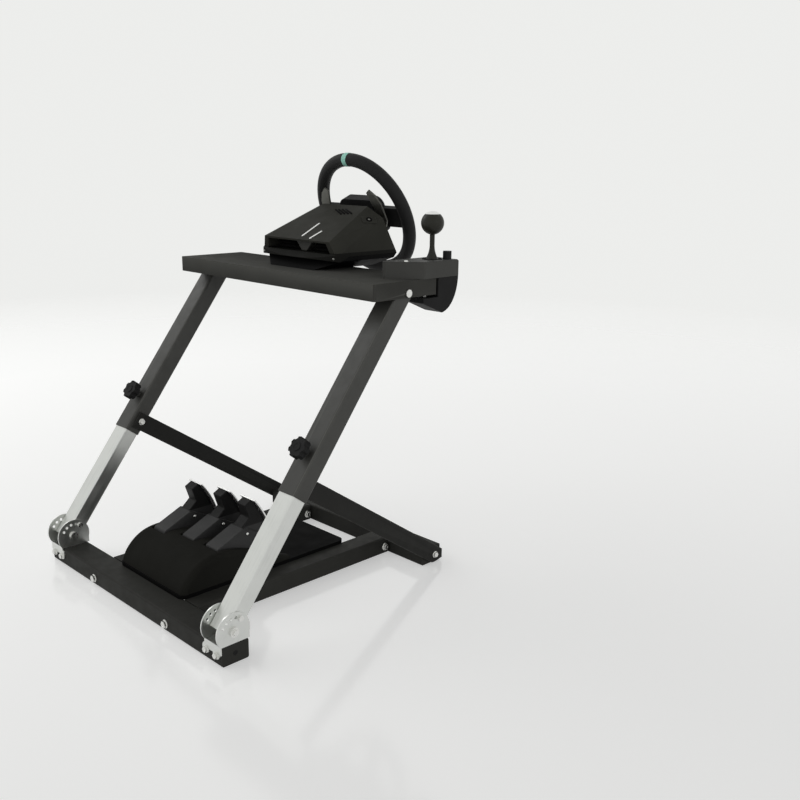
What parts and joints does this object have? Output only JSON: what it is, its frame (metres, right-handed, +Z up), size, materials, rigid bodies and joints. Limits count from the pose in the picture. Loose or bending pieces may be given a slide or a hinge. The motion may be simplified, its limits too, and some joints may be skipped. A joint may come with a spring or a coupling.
{
  "type": "racing wheel stand",
  "caption": "Folding steel tube stand with a raised tray that carries a steering wheel base and a gear shifter, and a floor frame that carries a pedal set.",
  "frame": {"origin": "on the floor, under the middle of the front cross tube's flat underside", "axes": "+X to the driver's right, +Y away from the driver, +Z up"},
  "size_m": [0.692, 0.7419, 0.9216],
  "materials": {
    "black_steel": "satin black powder coat",
    "galvanised_steel": "bright zinc plate",
    "bolt_steel": "bright zinc plate",
    "black_plastic": "fine moulded grain",
    "shell_plastic": "dark olive grey, satin gloss",
    "grey_plastic": "dark grey, smooth",
    "wheel_plastic": "fine moulded grain",
    "rim_leather": "stitched black leather",
    "paddle_metal": "brushed",
    "shifter_plastic": "smooth dark grey",
    "shifter_metal": "satin dark grey",
    "lever_plastic": "satin black",
    "pedal_plastic": "fine moulded grain",
    "pad_metal": "brushed"
  },
  "bodies": {
    "base_frame": {"front_cross_tube": "black_steel", "front_tube_caps": "black_plastic", "rear_cross_tube": "black_steel", "rear_end_plates": "black_steel", "left_rail": "black_steel", "right_rail": "black_steel", "left_ratchet_bracket": "galvanised_steel", "right_ratchet_bracket": "galvanised_steel", "leg_pivot_bolts": "bolt_steel", "leg_lock_pins": "bolt_steel", "left_inner_leg": "galvanised_steel", "right_inner_leg": "galvanised_steel", "pedal_base_plate": "pedal_plastic", "pedal_housing": "pedal_plastic", "pedal_pivot_pins": "bolt_steel"},
    "upper_legs": {"left_outer_leg": "black_steel", "right_outer_leg": "black_steel"},
    "left_knob": {"left_leg_knob": "black_plastic"},
    "right_knob": {"right_leg_knob": "black_plastic"},
    "struts": {"left_strut": "black_steel", "right_strut": "black_steel"},
    "table": {"table_tray": "black_steel", "table_pivot_bolts": "bolt_steel", "wheel_base_shell": "shell_plastic", "wheel_base_divider": "grey_plastic", "wheel_base_foot": "black_plastic", "column_collar": "black_plastic", "shifter_housing": "shifter_plastic", "shifter_cover_plate": "shifter_metal", "shifter_clamp": "black_plastic", "shifter_clamp_screw": "bolt_steel", "shifter_clamp_knob": "black_plastic"},
    "steering_wheel": {"wheel_shaft": "bolt_steel", "wheel_hub": "wheel_plastic", "wheel_rim": "rim_leather", "side_spokes": "wheel_plastic", "lower_spoke": "wheel_plastic", "paddle_mounts": "wheel_plastic"},
    "left_paddle": {"left_paddle": "paddle_metal"},
    "right_paddle": {"right_paddle": "paddle_metal"},
    "shift_gimbal": {"shift_gimbal": "bolt_steel"},
    "gear_lever": {"gear_lever": "lever_plastic", "gear_knob": "lever_plastic"},
    "throttle_pedal": {"throttle_pedal_arm": "grey_plastic", "throttle_pedal_pad": "pad_metal"},
    "brake_pedal": {"brake_pedal_arm": "grey_plastic", "brake_pedal_pad": "pad_metal"},
    "clutch_pedal": {"clutch_pedal_arm": "grey_plastic", "clutch_pedal_pad": "pad_metal"}
  },
  "joints": [
    {"name": "height_slide", "type": "slide", "parent": "base_frame", "child": "upper_legs", "axis": [0, -0.6018, 0.7986], "range_m": [-0.03, 0.1]},
    {"name": "strut_swing", "type": "hinge", "parent": "base_frame", "child": "struts", "pos_m": [0, -0.597, 0.02], "axis": [1, 0, 0], "range_deg": [-3.59, 11.5]},
    {"name": "left_knob_turn", "type": "hinge", "parent": "upper_legs", "child": "left_knob", "pos_m": [-0.312, -0.1809, 0.37118], "axis": [0, 0.7986, 0.6018], "continuous": true},
    {"name": "right_knob_turn", "type": "hinge", "parent": "upper_legs", "child": "right_knob", "pos_m": [0.312, -0.1809, 0.37118], "axis": [0, 0.7986, 0.6018], "continuous": true},
    {"name": "table_tilt", "type": "hinge", "parent": "upper_legs", "child": "table", "pos_m": [0, -0.43813, 0.6494], "axis": [1, 0, 0], "range_deg": [-15, 15]},
    {"name": "steering", "type": "hinge", "parent": "table", "child": "steering_wheel", "pos_m": [-0.008, -0.63152, 0.78222], "axis": [0, -0.915, 0.4035], "range_deg": [-450, 450]},
    {"name": "left_paddle_pull", "type": "hinge", "parent": "steering_wheel", "child": "left_paddle", "pos_m": [-0.054, -0.60316, 0.76971], "axis": [0, 0.4035, 0.915], "range_deg": [0, 8], "stiffness_Nm_per_rad": 0.6, "springref_deg": -4.58},
    {"name": "right_paddle_pull", "type": "hinge", "parent": "steering_wheel", "child": "right_paddle", "pos_m": [0.038, -0.60316, 0.76971], "axis": [0, -0.4035, -0.915], "range_deg": [0, 8], "stiffness_Nm_per_rad": 0.6, "springref_deg": -4.58},
    {"name": "shift_fore_aft", "type": "hinge", "parent": "table", "child": "shift_gimbal", "pos_m": [-0.311, -0.53903, 0.69], "axis": [1, 0, 0], "range_deg": [-12, 12]},
    {"name": "shift_side", "type": "hinge", "parent": "shift_gimbal", "child": "gear_lever", "pos_m": [-0.311, -0.53903, 0.69], "axis": [0, 1, 0], "range_deg": [-8, 8], "stiffness_Nm_per_rad": 2.5},
    {"name": "throttle_press", "type": "hinge", "parent": "base_frame", "child": "throttle_pedal", "pos_m": [0.082, -0.185, 0.07], "axis": [-1, 0, 0], "range_deg": [0, 16], "stiffness_Nm_per_rad": 12, "springref_deg": -4.58},
    {"name": "brake_press", "type": "hinge", "parent": "base_frame", "child": "brake_pedal", "pos_m": [0, -0.205, 0.07], "axis": [-1, 0, 0], "range_deg": [0, 16], "stiffness_Nm_per_rad": 40, "springref_deg": -4.58},
    {"name": "clutch_press", "type": "hinge", "parent": "base_frame", "child": "clutch_pedal", "pos_m": [-0.082, -0.21, 0.07], "axis": [-1, 0, 0], "range_deg": [0, 16], "stiffness_Nm_per_rad": 15, "springref_deg": -4.58}
  ],
  "couplings": [
    {"joint": "strut_swing", "follows": "height_slide", "rad_per_m": 1.9724}
  ]
}
